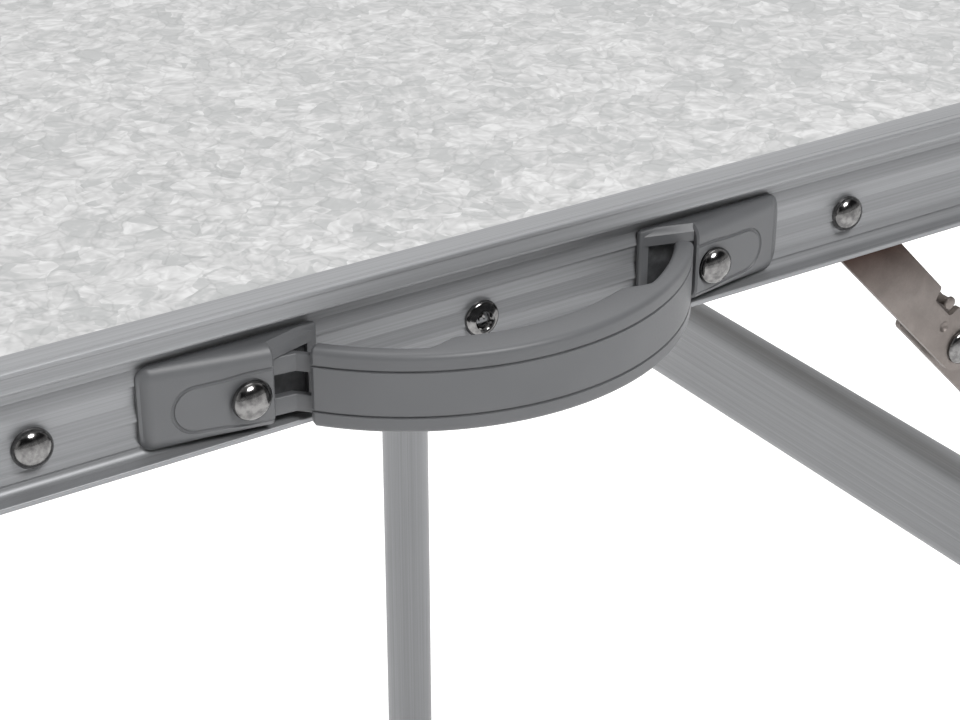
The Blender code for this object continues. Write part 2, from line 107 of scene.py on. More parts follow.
class FoldingTableSizes(bpy.types.PropertyGroup):
    """Sizes that change how the finishes and small details look."""
    flake: bpy.props.FloatProperty(
        name="Pearl flake", description="Width of one flake in the laminate",
        default=6.2 * MM, unit="LENGTH")
    draw_line: bpy.props.FloatProperty(
        name="Drawing line", description="Width of the lines that extrusion leaves on aluminium",
        default=0.5 * MM, unit="LENGTH")
    rib: bpy.props.FloatProperty(
        name="Crossbar rib", description="Distance between the fine ribs of a crossbar",
        default=2.6 * MM, unit="LENGTH")
    edge: bpy.props.FloatProperty(
        name="Pressed edge", description="Rounding on the edges of the pressed plates",
        default=0.25 * MM, unit="LENGTH")


class FoldingTableColours(bpy.types.PropertyGroup):
    """Main colours of the table."""
    aluminium: bpy.props.FloatVectorProperty(
        name="Aluminium", description="Anodised rails, legs and crossbars",
        subtype="COLOR", default=linear("#8c8d8f"))
    plastic: bpy.props.FloatVectorProperty(
        name="Plastic", description="Handle, sockets and corner blocks",
        subtype="COLOR", default=linear("#595a5c"))
    braces: bpy.props.FloatVectorProperty(
        name="Braces", description="Pressed plates of the knee braces",
        subtype="COLOR", default=linear("#7f7874"))


# Finishes ------------------------------
def add_node(tree, kind, settings=None, links=None):
    """Adds a shader node, sets its properties, ramp stops and sockets, and links it."""
    node = tree.nodes.new(f"ShaderNode{kind}")
    for key, value in (settings or {}).items():
        if key == "stops":
            elements = node.color_ramp.elements
            for i, (position, colour) in enumerate(value):
                element = elements[i] if i < 2 else elements.new(position)
                element.position, element.color = position, (*linear(colour), 1)
        elif isinstance(key, str) and hasattr(node, key):
            setattr(node, key, value)
        else:
            node.inputs[key].default_value = value
    for key, source in (links or {}).items():
        tree.links.new(source, node.inputs[key])
    return node


def new_finish(name, **shader):
    """A material; returns it, its tree, its Principled shader and object coordinates."""
    material = bpy.data.materials.new(name)
    material.use_nodes = True
    tree = material.node_tree
    principled = tree.nodes["Principled BSDF"]
    for key, value in shader.items():
        socket = key.replace("_", " ").title().replace("Ior", "IOR")
        principled.inputs[socket].default_value = value
    return material, tree, principled, add_node(tree, "TexCoord").outputs["Object"]


def surface(tree, shader, colour=None, tone=None, rough=None, relief=None):
    """Links a colour, or a (source, base colour, darkest, lightest) tone, with a
    (source, smoothest, roughest) roughness and a (source, strength, depth) relief."""
    if tone:
        source, base, *shades = tone
        ends = {6 + i: (*(c * shade for c in base), 1) for i, shade in enumerate(shades)}
        colour = add_node(tree, "Mix", {"data_type": "RGBA", **ends}, {0: source}).outputs[2]
    tree.links.new(colour, shader.inputs["Base Color"])
    if rough:
        spread = add_node(tree, "MapRange", {3: rough[1], 4: rough[2]}, {0: rough[0]})
        tree.links.new(spread.outputs[0], shader.inputs["Roughness"])
    if relief:
        source, strength, depth = relief
        bump = add_node(tree, "Bump", {"Strength": strength, "Distance": depth},
                        {"Height": source})
        tree.links.new(bump.outputs[0], shader.inputs["Normal"])


def finish_from(maker, *args):
    """The material of a maker, made the first time it's asked for."""
    name = "_".join((maker.__name__, *args))
    return bpy.data.materials.get(name) or maker(name, *args)


def pearl_laminate(name):
    # Crushed mother-of-pearl print under a satin melamine skin: each flake has its own
    # tone and its own direction of soft white streaks, and fine dark seams run between.
    flake = bpy.context.scene.folding_table_sizes.flake
    material, tree, shader, place = new_finish(name, roughness=0.38, coat_weight=0.25,
                                               coat_roughness=0.3)
    wander = add_node(tree, "TexNoise", {"Scale": 0.5 / flake, "Detail": 3.0},
                      {0: place}).outputs["Color"]
    bent, torn = (
        add_node(tree, "VectorMath", {"operation": "MULTIPLY_ADD", 1: (reach,) * 3},
                 {0: wander, 2: place}).outputs[0] for reach in (5 * MM, 12 * MM))
    layers = []
    for size, offset in ((1.0, 0.0), (1.7, 3.1)):
        shifted = add_node(tree, "VectorMath",
                           {"operation": "ADD", 1: (offset, offset, 0)}, {0: bent}).outputs[0]
        cells = add_node(tree, "TexVoronoi", {"Scale": 1 / (flake * size)}, {0: shifted})
        parts = add_node(tree, "SeparateColor", links={0: cells.outputs["Color"]})
        turn = add_node(tree, "Math", {"operation": "MULTIPLY", 1: 2 * math.pi},
                        {0: parts.outputs[0]}).outputs[0]
        turned = add_node(tree, "VectorRotate", {"rotation_type": "Z_AXIS"},
                          {0: shifted, "Angle": turn}).outputs[0]
        streak = (1 / (flake * 0.95), 1 / (flake * 0.5), 1)
        stretched = add_node(tree, "VectorMath", {"operation": "MULTIPLY", 1: streak},
                             {0: turned}).outputs[0]
        streaks = add_node(tree, "TexNoise",
                           {"Scale": 1.0, "Detail": 2.0, "Distortion": 0.35}, {0: stretched})
        layers.append(add_node(tree, "Math", {"operation": "MULTIPLY_ADD", 1: 0.3},
                               {0: parts.outputs[1], 2: streaks.outputs[0]}).outputs[0])
    mixed = add_node(tree, "Math", {"operation": "MAXIMUM"}, dict(enumerate(layers)))
    tones = [(0.5, "#9c9d9d"), (0.95, "#c4c4c4"), (0.64, "#a1a2a2"), (0.7, "#aaaaaa"),
             (0.8, "#b3b3b3")]
    colour = add_node(tree, "ValToRGB", {"stops": tones}, {0: mixed.outputs[0]}).outputs[0]
    edges = add_node(tree, "TexVoronoi",
                     {"feature": "DISTANCE_TO_EDGE", "Scale": 0.8 / flake}, {0: torn})
    seam = add_node(tree, "MapRange", {1: 0.0, 2: 0.06, 3: 0.84, 4: 1.0},
                    {0: edges.outputs["Distance"]}).outputs[0]
    seamed = add_node(tree, "VectorMath", {"operation": "SCALE"},
                      {0: colour, "Scale": seam}).outputs[0]
    skin = add_node(tree, "TexNoise", {"Scale": 1 / (0.8 * MM)}, {0: place}).outputs[0]
    surface(tree, shader, colour=seamed, relief=(skin, 0.04, 0.1 * MM))
    return material


def kraft_backing(name):
    # Balancing paper glued under the board: pale grey, matt, with pressed fibres.
    material, tree, shader, place = new_finish(name, roughness=0.8)
    fibre = add_node(tree, "VectorMath", {"operation": "MULTIPLY", 1: (120, 700, 400)},
                     {0: place}).outputs[0]
    noise = add_node(tree, "TexNoise", {"Scale": 1.0, "Detail": 5.0}, {0: fibre}).outputs[0]
    colour = add_node(tree, "ValToRGB", {"stops": [(0.3, "#a9a7a3"), (0.7, "#c3c1bd")]},
                      {0: noise}).outputs[0]
    surface(tree, shader, colour, relief=(noise, 0.2, 0.1 * MM))
    return material


def anodised_aluminium_drawn_along(name, axis):
    # Extruded or drawn, then satin anodised: fine lines run along the piece, and the oxide
    # keeps reflections soft.  The lines are drawn wider than real ones, to show.
    line = bpy.context.scene.folding_table_sizes.draw_line
    base = bpy.context.scene.folding_table_colours.aluminium
    material, tree, shader, place = new_finish(name, metallic=0.4)
    scale = [1 / line] * 3
    scale["XYZ".index(axis)] = 1 / (180 * MM)
    along = add_node(tree, "VectorMath", {"operation": "MULTIPLY", 1: scale},
                     {0: place}).outputs[0]
    lines = add_node(tree, "TexNoise", {"Scale": 1.0, "Detail": 3.0, "Roughness": 0.6},
                     {0: along}).outputs[0]
    clear = add_node(tree, "MapRange", {1: 0.34, 2: 0.66}, {0: lines}).outputs[0]
    cloud = add_node(tree, "TexNoise", {"Scale": 1 / (35 * MM), "Detail": 2.0},
                     {0: place}).outputs[0]
    surface(tree, shader, tone=(clear, base, 0.88, 1.06), rough=(cloud, 0.4, 0.52),
            relief=(lines, 0.12, 0.05 * MM))
    return material


def moulded_polypropylene(name):
    # Injection-moulded grey polypropylene: satin, with the faint grain of an eroded mould.
    base = bpy.context.scene.folding_table_colours.plastic
    material, tree, shader, place = new_finish(name, ior=1.49)
    grain, flow = (add_node(tree, "TexNoise", {"Scale": 1 / size, "Detail": 2.0},
                            {0: place}).outputs[0] for size in (0.35 * MM, 14 * MM))
    surface(tree, shader, tone=(flow, base, 0.92, 1.07), rough=(grain, 0.38, 0.52),
            relief=(grain, 0.1, 0.06 * MM))
    return material


def barrel_zinc_plated_steel(name, browned=False):
    # Pressed steel, tumbled in a zinc bath: dull grey with soft stains.  Brace plates also get
    # painted shade: they darken to brown towards their tops, inside the rim, in place of its shade
    # and dark reflection.
    base = bpy.context.scene.folding_table_colours.braces
    material, tree, shader, place = new_finish(name, metallic=0.85)
    stain = add_node(tree, "TexNoise",
                     {"Scale": 1 / (6 * MM), "Detail": 5.0, "Distortion": 0.6}, {0: place})
    speck = add_node(tree, "TexNoise", {"Scale": 1 / (0.7 * MM), "Detail": 2.0},
                     {0: place}).outputs[0]
    surface(tree, shader, tone=(stain.outputs[0], base, 0.72, 1.15), rough=(speck, 0.34, 0.6),
            relief=(speck, 0.15, 0.05 * MM))
    if browned:
        # Painted shade: the tone is multiplied towards brown near the tops of the plates, where
        # the rim shades them and darkens their reflection.
        tone = shader.inputs["Base Color"].links[0].from_socket
        height = add_node(tree, "SeparateXYZ", links={0: place}).outputs[2]
        painted_rim_shade_mask = add_node(tree, "MapRange", {1: TOP - 58 * MM, 2: TOP - 40 * MM}, {0: height})
        painted_rim_shade_mix = add_node(tree, "Mix", {"data_type": "RGBA", "blend_type": "MULTIPLY",
                                                 7: (*linear("#755b51"), 1)},
                         {0: painted_rim_shade_mask.outputs[0], 6: tone})
        tree.links.new(painted_rim_shade_mix.outputs[2], shader.inputs["Base Color"])
    return material


# Zinc plate with painted shade and reflection that darkens its top towards the rim.
def oil_browned_zinc_plate(name):
    return barrel_zinc_plated_steel(name, browned=True)


def polished_nickel_plate(name):
    # Rivet steel, polished and nickel plated: sharp reflections with faint wipe marks.
    material, tree, shader, place = new_finish(name, metallic=1.0)
    wipe = add_node(tree, "TexNoise", {"Scale": 1 / (1.5 * MM), "Detail": 4.0},
                    {0: place}).outputs[0]
    colour = add_node(tree, "ValToRGB", {"stops": [(0.35, "#636262"), (0.6, "#838281")]},
                      {0: wipe}).outputs[0]
    surface(tree, shader, colour, rough=(wipe, 0.08, 0.2))
    return material


def moulded_rubber(name):
    # Dark moulded rubber, matt, scuffed paler where it rubs the floor.
    material, tree, shader, place = new_finish(name)
    scuff = add_node(tree, "TexNoise", {"Scale": 1 / (3 * MM), "Detail": 5.0},
                     {0: place}).outputs[0]
    colour = add_node(tree, "ValToRGB", {"stops": [(0.4, "#2d2e30"), (0.75, "#4c4d4f")]},
                      {0: scuff}).outputs[0]
    surface(tree, shader, colour, rough=(scuff, 0.6, 0.85), relief=(scuff, 0.2, 0.08 * MM))
    return material


FINISHES = {
    "plastic": (moulded_polypropylene, "grey_plastic"),
    "zinc": (barrel_zinc_plated_steel, "zinc_steel"),
    # brace plates: zinc with painted shade darkening them towards the rim
    "browned": (oil_browned_zinc_plate, "zinc_steel"),
    "nickel": (polished_nickel_plate, "rivet_steel"),
    "rubber": (moulded_rubber, "foot_plastic"),
}


# Mesh work -----------------------------
def arc(centre, radius, start, end, steps=8):
    """Points on an arc, angles in degrees."""
    angles = [math.radians(start + (end - start) * i / steps) for i in range(steps + 1)]
    return [(centre[0] + radius * math.cos(a), centre[1] + radius * math.sin(a)) for a in angles]


def closed_mesh(name, rings):
    """Skins a list of equal rings of points and caps both ends."""
    shape = bmesh.new()
    made = [[shape.verts.new(point) for point in ring] for ring in rings]
    for first, second in zip(made, made[1:]):
        for i in range(len(first)):
            j = (i + 1) % len(first)
            shape.faces.new((first[i], first[j], second[j], second[i]))
    shape.faces.new(made[0][::-1])
    shape.faces.new(made[-1])
    return mesh_from(shape, name)


def mesh_from(shape, name, matrix=Matrix.Identity(4)):
    bmesh.ops.remove_doubles(shape, verts=shape.verts, dist=1e-7)
    bmesh.ops.transform(shape, matrix=matrix, verts=shape.verts)
    bmesh.ops.recalc_face_normals(shape, faces=shape.faces)
    mesh = bpy.data.meshes.new(name)
    shape.to_mesh(mesh)
    shape.free()
    return mesh


def lathe(name, profile, matrix, steps=56):
    """Spins (radius, height) points round local Z.  A profile off the axis is a ring."""
    shape = bmesh.new()
    on_axis = profile[0][0] == 0
    points = [shape.verts.new((r, 0, z)) for r, z in profile]
    edges = [shape.edges.new(pair) for pair in zip(points, points[1:])]
    if not on_axis:
        edges.append(shape.edges.new((points[-1], points[0])))
    bmesh.ops.spin(shape, geom=points + edges, axis=(0, 0, 1), cent=(0, 0, 0),
                   steps=steps, angle=2 * math.pi)
    return mesh_from(shape, name, matrix)


def flat_plate(name, loops, thickness, matrix):
    """A flat outline with any holes after it, thickened along its local Z."""
    curve = bpy.data.curves.new(name, "CURVE")
    curve.dimensions = "2D"
    curve.fill_mode = "BOTH"
    curve.extrude = thickness / 2
    for loop in loops:
        spline = curve.splines.new("POLY")
        spline.points.add(len(loop) - 1)
        for point, (x, y) in zip(spline.points, loop):
            point.co = (x, y, 0, 1)
        spline.use_cyclic_u = True
    outline = bpy.data.objects.new(name, curve)
    bpy.context.scene.collection.objects.link(outline)
    mesh = evaluated_mesh(outline)
    bpy.data.objects.remove(outline, do_unlink=True)
    mesh.materials.clear()
    shape = bmesh.new()
    shape.from_mesh(mesh)
    bmesh.ops.remove_doubles(shape, verts=shape.verts, dist=1e-6)
    return mesh_from(shape, name, matrix)


def evaluated_mesh(thing):
    bpy.context.view_layer.update()
    graph = bpy.context.evaluated_depsgraph_get()
    return bpy.data.meshes.new_from_object(thing.evaluated_get(graph))


def loose(name, data):
    thing = bpy.data.objects.new(name, data)
    bpy.context.scene.collection.objects.link(thing)
    return thing


def carved(name, mesh, cutters, edge=0.0):
    """A mesh after its (operation, cutter mesh) list and a bevel on its sharp edges."""
    thing = loose(name, mesh)
    tools = [loose(f"{name}_tool_{i}", cutter) for i, (_, cutter) in enumerate(cutters)]
    for tool, (operation, _) in zip(tools, cutters):
        step = thing.modifiers.new(operation.lower(), "BOOLEAN")
        step.operation, step.solver, step.object = operation, "EXACT", tool
    if edge:
        bevel = thing.modifiers.new("edges", "BEVEL")
        bevel.width, bevel.segments = edge, 3
        bevel.limit_method, bevel.angle_limit = "ANGLE", math.radians(40)
    made = evaluated_mesh(thing)
    for used in [thing, *tools]:
        bpy.data.objects.remove(used, do_unlink=True)
    return made


def place_piece(name, mesh, finish, body, nodes=(), smooth=35):
    """Shows a mesh: its finish (a letter is the axis that aluminium is drawn along), its
    shading, its body and the nodes that it stands for."""
    thing = loose(name, mesh)
    mesh.name = name
    mesh.materials.clear()
    if finish in FINISHES:
        maker, slot = FINISHES[finish]
        mesh.materials.append(finish_from(maker))
    else:
        slot = "aluminium"
        mesh.materials.append(finish_from(anodised_aluminium_drawn_along, finish))
    mesh.shade_smooth()
    mesh.set_sharp_from_angle(angle=math.radians(smooth))
    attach(thing, body)
    if nodes:
        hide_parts(*nodes)


def middle(node):
    low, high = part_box(node)
    return (low + high) / 2


def depths(node, end):
    """Where a node starts and stops behind the outer face of its web."""
    base, way = ENDS[end]
    return sorted((corner.y - base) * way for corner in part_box(node))


def turned(name, profile, end, x, z, steps=56):
    """A lathed piece whose local +Z runs from a web to the middle of the table."""
    base, way = ENDS[end]
    turn = Matrix.Rotation(math.radians(-90 * way), 4, "X")
    return lathe(name, profile, Matrix.Translation((x, base, z)) @ turn, steps)


def raised(base, *points):
    """(radius, height) points given in mm, with heights from a base in metres."""
    return [(r * MM, base + h * MM) for r, h in points]


# Board ---------------------------------
class FOLDINGTABLE_OT_board(bpy.types.Operator):
    """Give the board its pearl laminate and the paper underneath"""
    bl_idname = "folding_table.board"
    bl_label = "Board"

    def execute(self, context):
        panel = frame["nodes"]["top_panel"]
        panel.data.materials.clear()
        for maker in (pearl_laminate, kraft_backing):
            panel.data.materials.append(finish_from(maker))
        for face in panel.data.polygons:
            face.material_index = 1 if face.normal.z < -0.5 else 0
        return {"FINISHED"}


def rail_section():
    """Rail section in mm: how far out from the web, how far below the top."""
    rim = RIM / MM
    flange = [(-2.6, 0.25), *arc((-2.35, 0.25), 0.25, 180, 270, 3), (3.4, 0), (3.55, 0.12),
              *arc((rim - 0.5, 0.6), 0.5, -90, 0, 5)]
    bead = [(rim, 1.15), (rim - 0.4, 1.25), (rim - 0.45, 1.5), (rim - 0.3, 2.6), (rim - 0.25, 2.8),
            (rim - 0.02, 4.2), *arc((rim - 1.3, 4.4), 1.3, 0, 90, 16), (0.15, 5.8)]
    web = [(0.25, 6.0), (-0.1, 10.0), (0.85, 13.2), (0.85, 13.35), (0.2, 13.6), (-0.15, 18.2),
           (0.8, 21.9), (0.8, 22.05), (0.2, 22.3), (-0.15, 26.4), (0.6, 28.1), (0.6, 28.2),
           (0.15, 28.4)]
    lip = [*arc((2.2, 28.6), 2.1, 180, 90, 16)[1:], (rim - 0.3, 30.7),
           *arc((rim - 0.3, 31), 0.3, -90, 0, 3), (rim, 31.8), (rim - 0.2, 32), (-1.5, 32)]
    inside = [(-1.5, 6.7), (-14, 6.7), (-14, 5.5), (0, 5.5), (0, 0.9), (-2.6, 0.9)]
    return [(out * MM, -down * MM) for out, down in flange + bead + web + lip + inside]


class FOLDINGTABLE_OT_rails(bpy.types.Operator):
    """Make the four mitred rails of the rim"""
    bl_idname = "folding_table.rails"
    bl_label = "Rails"

    def execute(self, context):
        length, up = CAD_HIGH.x, Vector((0, 0, 1))
        centre_y = (WEB_FRONT + WEB_BACK) / 2
        depth = (WEB_BACK - WEB_FRONT) / 2 + RIM
        rails = {"front": ((0, WEB_FRONT, TOP), (0, -1, 0), length, "X"),
                 "back": ((0, WEB_BACK, TOP), (0, 1, 0), length, "X"),
                 "right": ((length - RIM, centre_y, TOP), (1, 0, 0), depth, "Y"),
                 "left": ((RIM - length, centre_y, TOP), (-1, 0, 0), depth, "Y")}
        for name, (base, outward, half, axis) in rails.items():
            base, outward = Vector(base), Vector(outward)
            along = outward.cross(up)
            rings = [[base + outward * out + up * high
                      + along * way * (half - (RIM - out) - GAP / 3)
                      for out, high in rail_section()] for way in (-1, 1)]
            mesh = closed_mesh(f"rail_{name}", rings)
            place_piece(f"rail_{name}", mesh, axis, "table_top", [f"frame_{name}"], smooth=6.5)
        return {"FINISHED"}


class FOLDINGTABLE_OT_under_board(bpy.types.Operator):
    """Finish the stiffener strip and the corner blocks under the board"""
    bl_idname = "folding_table.under_board"
    bl_label = "Stiffener and corner blocks"

    def execute(self, context):
        strip = frame["nodes"]["centre_stiffener"]
        finishes = {strip: finish_from(anodised_aluminium_drawn_along, "Y")}
        plastic = finish_from(moulded_polypropylene)
        for side, end in CORNERS:
            finishes[frame["nodes"][f"corner_block_{side}_{end}"]] = plastic
        for thing, finish in finishes.items():
            thing.data.materials.clear()
            thing.data.materials.append(finish)
            edges = thing.modifiers.new("edges", "BEVEL")
            edges.width, edges.segments = (0.3 if thing is strip else 0.9) * MM, 3
            edges.limit_method = "ANGLE"
        return {"FINISHED"}


# Rivets and pivots ---------------------
def dome(radius, height, steps=9):
    """Rivet head from its crown to its rim, ahead of height 0, with a small flat edge."""
    rim = 0.12 * height
    crown = [(radius * math.sin(a), -rim - (height - rim) * math.cos(a))
             for a in (math.pi / 2 * i / steps for i in range(steps + 1))]
    return [(0, -height)] + crown[1:] + [(radius, 0)]


def rivet(name, node, end, body, head, sleeve=None, shank=2.5 * MM, tail=None):
    """A domed rivet in the place of a node; head and tail are (radius, height)."""
    start, stop = depths(node, end)
    centre = middle(node)
    radius, height = head
    base = start + height
    profile = [(r, h + base) for r, h in dome(radius, height)] + [(shank, base)]
    if sleeve:
        size, first, last = sleeve
        profile += [(shank, first), (size, first), (size, last), (shank, last)]
    tail_radius, tail_height = tail or (shank, 0.2 * MM)
    edge = min(0.25 * MM, tail_height / 3)
    profile += [(shank, stop - tail_height), (tail_radius - edge, stop - tail_height),
                (tail_radius, stop - tail_height + edge), (tail_radius, stop - edge),
                (tail_radius - edge, stop), (0, stop)]
    mesh = turned(name, profile, end, centre.x, centre.z)
    place_piece(name, mesh, "nickel", body, [node])


class FOLDINGTABLE_OT_pivots(bpy.types.Operator):
    """Make the rivets, leg pivots and flanged bushes"""
    bl_idname = "folding_table.pivots"
    bl_label = "Rivets and pivots"

    def execute(self, context):
        head = (4.7 * MM, 3.0 * MM)
        for side, end in CORNERS:
            tag = f"{side}_{end}"
            rivet(f"pivot_pin_{tag}", f"leg_pivot_{tag}", end, "table_top", head,
                  shank=3 * MM, tail=(4.7 * MM, 2 * MM))
            plate = depths(f"brace_upper_{tag}", end)[0]
            web = depths(f"hinge_bracket_{tag}", end)[0]
            rivet(f"top_rivet_{tag}", f"brace_pivot_{tag}", end, "table_top", head,
                  sleeve=(4 * MM, web, plate - GAP), tail=(3.8 * MM, 1.2 * MM))
            self.bush(tag, end)
        for side in SIDES:
            rivet(f"grip_rivet_{side}", f"handle_rivet_{side}", "front", "table_top", head,
                  tail=(3.8 * MM, 1.2 * MM))
        for end in ENDS:
            self.hollow_rivet(end)
        return {"FINISHED"}

    def bush(self, tag, end):
        """Turned bush with a pressed flange and a fillet at its foot."""
        start, stop = depths(f"hinge_bracket_{tag}", end)
        centre = middle(f"hinge_bracket_{tag}")
        profile = [*raised(start, (3.3, 0), (12.6, 0), (13, 0.4), (13, 1.6), (12.6, 2),
                           *arc((7.5, 3.5), 1.5, 270, 180, 6)),
                   *raised(stop, (6, -0.4), (5.6, 0), (3.3, 0))]
        mesh = turned(f"bush_{tag}", profile, end, centre.x, centre.z)
        place_piece(f"bush_{tag}", mesh, "zinc", "table_top", [f"hinge_bracket_{tag}"])

    def hollow_rivet(self, end):
        """Blind rivet: a low rounded flange round a sunk, broken-off mandrel."""
        node = f"stiffener_rivet_{end}"
        start, stop = depths(node, end)
        flange_top = 2 * MM
        centre = middle(node)
        tail = raised(stop, (0, 0), (3, 0), (3.4, -0.3), (3.4, -0.8), (2.5, -0.8))
        flange = [(2.5, 0), (4.6, 0), *arc((3.5, 0), 1.1, -8, -90, 7), (2.5, -1.6), (2, -1.1)]
        well = [(1.75, -0.2), (1.7, 1.2), (1.25, 1.2), (1.2, 0.3), (0.9, -0.1), (0.35, 0.1),
                (0, 0)]
        profile = tail + raised(start + flange_top, *flange, *well)
        mesh = turned(f"hollow_rivet_{end}", profile, end, centre.x, centre.z)
        place_piece(f"hollow_rivet_{end}", mesh, "nickel", "table_top", [node])


# Handle --------------------------------
SOCKET_INNER, SOCKET_STEP, SOCKET_OUTER = 44.5, 58, 88     # mm from the middle
COVER_HIGH, COVER_LOW = 7.6, 2.6                           # mm out from the web
SOCKET_BASE, PLATE_TOP = 0.65, 2.3


def cover_height(x):
    return COVER_HIGH + (COVER_LOW - COVER_HIGH) * (x - SOCKET_STEP) / (SOCKET_OUTER - SOCKET_STEP)


def loaf(high, low, top, base, radius):
    """Section of a cover with broad rounded edges, as (out, up) points."""
    flank = min(radius, (top - base) * 0.85)
    upper = arc((top - flank, high - radius), 1, 90, 0, 8)
    lower = arc((top - flank, low + radius), 1, 0, -90, 8)
    centre = top - flank
    points = [(base, high)]
    points += [(centre + (o - centre) * flank, high - radius + (u - high + radius) * radius)
               for o, u in upper]
    points += [(centre + (o - centre) * flank, low + radius + (u - low - radius) * radius)
               for o, u in lower]
    return points + [(base, low)]


class FOLDINGTABLE_OT_sockets(bpy.types.Operator):
    """Make the two moulded sockets that hold the grip, each with a dark sheet of painted shade in
    its window
    """
    bl_idname = "folding_table.sockets"
    bl_label = "Handle sockets"

    def execute(self, context):
        for side, sign in SIDES.items():
            node = f"handle_socket_{side}"
            low, high = ((corner.z - ROW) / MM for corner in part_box(node))
            mesh = carved(node, self.cover(sign, low, high), self.tools(sign, side, low, high))
            place_piece(f"socket_{side}", mesh, "plastic", "table_top", [node], smooth=32)
            # Painted shade: a dark rubber sheet inside the window, under the prongs, stands in for
            # the shade of the deep pocket.
            shade_sheet = self.wedge(sign, [(47.2, 0.9), (69, 0.9)], 0.62, -7.3, 7.3)
            place_piece(f"socket_shade_sheet_{side}", shade_sheet, "rubber", "table_top")
        return {"FINISHED"}

    def point(self, sign, x, out, up):
        """A place from mm along the rail, out from the web and up from the rivets."""
        return Vector((sign * x * MM, WEB_FRONT - out * MM, ROW + up * MM))

    def cover(self, sign, low, high):
        """Wedge that thins towards its outer end, where its corners are round."""
        corner, droop, flank = 3.2, 1.1, 3.4
        stations = [(SOCKET_STEP, 0.5), *((SOCKET_STEP + x, 0) for x in (0.5, 7, 15))]
        for angle in range(0, 91, 10):
            turn = math.radians(angle)
            stations.append((SOCKET_OUTER - corner + corner * math.sin(turn),
                             corner * (1 - math.cos(turn))))
        rings = []
        for x, shrink in stations:
            top = cover_height(x) - min(shrink, droop)
            section = loaf(high - shrink, low + shrink, top, SOCKET_BASE, flank)
            rings.append([self.point(sign, x, out, up) for out, up in section])
        return closed_mesh("cover", rings)

    def wedge(self, sign, stations, base, low, high, edge=0.0):
        """Block from a base plane to a top that is set at each (x, top) station."""
        rings = [[self.point(sign, x, out, up) for out, up in
                  ((base, low), (top, low), (top, high), (base, high))] for x, top in stations]
        mesh = closed_mesh("wedge", rings)
        return carved("wedge", mesh, [], edge) if edge else mesh

    def tools(self, sign, side, low, high):
        """What is joined to a cover and cut from it, in order."""
        overlap, sill = SOCKET_STEP + 1, 7.5
        shelf = [[self.point(sign, x, out, up) for out, up in
                  ((SOCKET_BASE, sill), (top, sill), (top, high - 1.6), (top - 1.4, high),
                   (SOCKET_BASE, high))]
                 for x, top in ((SOCKET_INNER + 1, PLATE_TOP), (overlap, 6.2))]
        plate = self.wedge(sign, [(SOCKET_INNER, PLATE_TOP), (overlap, PLATE_TOP)], SOCKET_BASE,
                           low, high, 0.5 * MM)
        window = self.wedge(sign, [(47, 5), (SOCKET_STEP + 0.5, 5)], -1, -sill, sill)
        pocket = self.wedge(sign, [(50, 5.9), (58.5, 5.9), (70, 4.7)], -1.2, -7.3, 7.3)
        rivet_at = middle(f"handle_rivet_{side}")
        seat, hole = (
            turned("seat", raised(0, (0, first), (r, first), (r, last), (0, last)), "front",
                   rivet_at.x, rivet_at.z) for r, first, last in ((5, -9, -6.7), (2.7, -7, 1)))
        return [("UNION", plate), ("UNION", closed_mesh("shelf", shelf)), ("DIFFERENCE", window),
                ("DIFFERENCE", pocket), ("DIFFERENCE", seat), ("DIFFERENCE", hole),
                ("DIFFERENCE", self.tongue_groove(sign))]

    def tongue_groove(self, sign):
        """Round-bottomed groove that outlines a tongue round the rivet."""
        end, width = 75.5, 5.5
        shoulder = [(SOCKET_STEP - 1, 6.4), (SOCKET_STEP + 6, 6.3), (end - 6, width + 0.2)]
        path = [*shoulder, *((end + x, z) for x, z in arc((0, 0), width, 90, -90, 16)),
                *((x, -z) for x, z in reversed(shoulder))]
        curve = bpy.data.curves.new("groove", "CURVE")
        curve.dimensions = "3D"
        curve.bevel_depth, curve.bevel_resolution, curve.use_fill_caps = 0.5 * MM, 3, True
        spline = curve.splines.new("POLY")
        spline.points.add(len(path) - 1)
        for point, (x, z) in zip(spline.points, path):
            point.co = (*self.point(sign, x, cover_height(x) + 0.05, z), 1)
        thing = loose("groove", curve)
        mesh = evaluated_mesh(thing)
        bpy.data.objects.remove(thing, do_unlink=True)
        shape = bmesh.new()
        shape.from_mesh(mesh)
        return mesh_from(shape, "groove")


